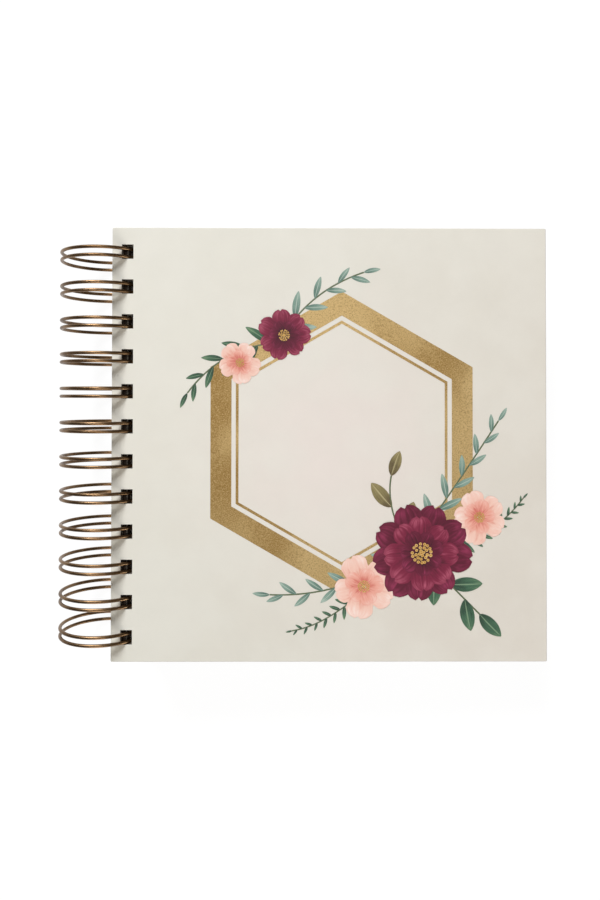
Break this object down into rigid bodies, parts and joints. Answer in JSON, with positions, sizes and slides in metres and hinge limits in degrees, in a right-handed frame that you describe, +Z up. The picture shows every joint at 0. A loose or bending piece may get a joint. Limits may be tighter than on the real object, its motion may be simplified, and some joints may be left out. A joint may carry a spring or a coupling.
{
  "type": "indexed notebook",
  "caption": "Square hard-cover notebook on a twin-loop wire, with tabbed index dividers between its ruled leaves.",
  "frame": {"origin": "under the middle of the closed notebook, on the surface that it lies on", "axes": "+X from the rings to the fore-edge, +Y towards the head, +Z up out of the front cover"},
  "size_m": [0.18, 0.1574, 0.0327],
  "materials": {
    "cover_paper": "matt laminated",
    "greyboard": "uncoated",
    "end_paper": "uncoated",
    "divider_card": "smooth card",
    "leaf_paper": "uncoated",
    "bronze_wire": "antique bronze plating"
  },
  "bodies": {
    "back_cover": {"back_cover_paper": "cover_paper", "back_cover_board": "greyboard", "back_cover_liner": "end_paper", "twin_loop_wire": "bronze_wire"},
    "section_8": {"divider_8": "divider_card", "leaves_8": "leaf_paper"},
    "section_7": {"divider_7": "divider_card", "leaves_7": "leaf_paper"},
    "section_6": {"divider_6": "divider_card", "leaves_6": "leaf_paper"},
    "section_5": {"divider_5": "divider_card", "leaves_5": "leaf_paper"},
    "section_4": {"divider_4": "divider_card", "leaves_4": "leaf_paper"},
    "section_3": {"divider_3": "divider_card", "leaves_3": "leaf_paper"},
    "section_2": {"divider_2": "divider_card", "leaves_2": "leaf_paper"},
    "section_1": {"divider_1": "divider_card", "leaves_1": "leaf_paper"},
    "front_cover": {"front_cover_paper": "cover_paper", "front_cover_board": "greyboard", "front_cover_liner": "end_paper"}
  },
  "joints": [
    {"name": "section_8_turn", "type": "hinge", "parent": "back_cover", "child": "section_8", "pos_m": [-0.07377, 0, 0.01642], "axis": [0, -1, 0], "range_deg": [0, 180]},
    {"name": "section_7_turn", "type": "hinge", "parent": "section_8", "child": "section_7", "pos_m": [-0.07377, 0, 0.01642], "axis": [0, -1, 0], "range_deg": [0, 180]},
    {"name": "section_6_turn", "type": "hinge", "parent": "section_7", "child": "section_6", "pos_m": [-0.07377, 0, 0.01642], "axis": [0, -1, 0], "range_deg": [0, 180]},
    {"name": "section_5_turn", "type": "hinge", "parent": "section_6", "child": "section_5", "pos_m": [-0.07377, 0, 0.01642], "axis": [0, -1, 0], "range_deg": [0, 180]},
    {"name": "section_4_turn", "type": "hinge", "parent": "section_5", "child": "section_4", "pos_m": [-0.07377, 0, 0.01642], "axis": [0, -1, 0], "range_deg": [0, 180]},
    {"name": "section_3_turn", "type": "hinge", "parent": "section_4", "child": "section_3", "pos_m": [-0.07377, 0, 0.01642], "axis": [0, -1, 0], "range_deg": [0, 180]},
    {"name": "section_2_turn", "type": "hinge", "parent": "section_3", "child": "section_2", "pos_m": [-0.07377, 0, 0.01642], "axis": [0, -1, 0], "range_deg": [0, 180]},
    {"name": "section_1_turn", "type": "hinge", "parent": "section_2", "child": "section_1", "pos_m": [-0.07377, 0, 0.01642], "axis": [0, -1, 0], "range_deg": [0, 180]},
    {"name": "front_cover_turn", "type": "hinge", "parent": "section_1", "child": "front_cover", "pos_m": [-0.07377, 0, 0.01642], "axis": [0, -1, 0], "range_deg": [0, 183.17]}
  ]
}
